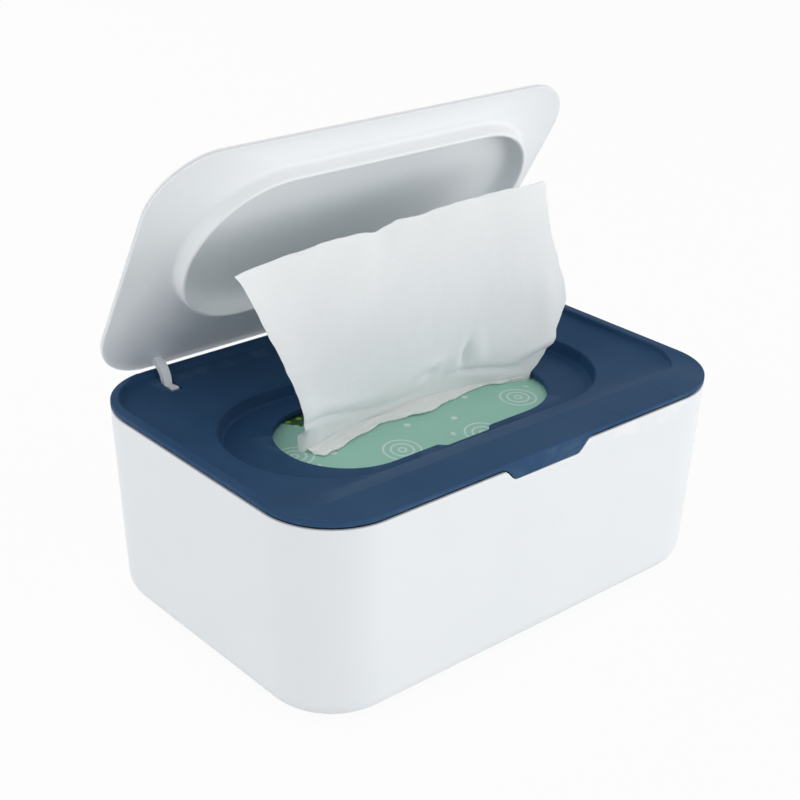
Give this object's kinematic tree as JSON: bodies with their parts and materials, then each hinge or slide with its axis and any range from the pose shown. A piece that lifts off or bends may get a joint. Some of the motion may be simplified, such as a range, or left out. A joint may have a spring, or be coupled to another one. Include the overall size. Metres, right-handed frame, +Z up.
{
  "type": "wipes dispenser",
  "caption": "Box for soft packs of wipes, with a drop-in dished cover, a dispensing opening and a sealing lid on two goose-neck arms.",
  "frame": {"origin": "middle of the box's flat underside; the feet stand 0.8 mm below it", "axes": "+X along the box, -Y towards the front with the tongue, +Y towards the hinge, +Z up"},
  "size_m": [0.19, 0.1345, 0.1677],
  "materials": {
    "box_plastic": "satin moulded white",
    "lid_plastic": "satin moulded white",
    "cover_plastic": "satin moulded navy",
    "keeper_plastic": "moulded navy",
    "screw_steel": "plated",
    "foot_rubber": "soft matt",
    "pack_film": null,
    "folded_wipes": "damp nonwoven",
    "wipe_cloth": "damp nonwoven"
  },
  "bodies": {
    "base": {"box": "box_plastic", "foot_front_left": "foot_rubber", "foot_front_right": "foot_rubber", "foot_back_left": "foot_rubber", "foot_back_right": "foot_rubber", "wipes_pack": "pack_film", "wipe_stack": "folded_wipes", "next_wipe": "folded_wipes"},
    "cover": {"cover": "cover_plastic", "keeper_left": "keeper_plastic", "keeper_right": "keeper_plastic", "keeper_screw_left_outer": "screw_steel", "keeper_screw_left_inner": "screw_steel", "keeper_screw_right_inner": "screw_steel", "keeper_screw_right_outer": "screw_steel", "pulled_wipe": "wipe_cloth"},
    "lid": {"lid": "lid_plastic", "lid_liner": "lid_plastic"}
  },
  "joints": [
    {"name": "cover_lift", "type": "slide", "parent": "base", "child": "cover", "axis": [0, 0, 1], "range_m": [0, 0.04]},
    {"name": "lid_hinge", "type": "hinge", "parent": "cover", "child": "lid", "pos_m": [0, 0.06657, 0.07005], "axis": [1, 0, 0], "range_deg": [0, 60.27], "deforming": ["pulled_wipe"]}
  ]
}
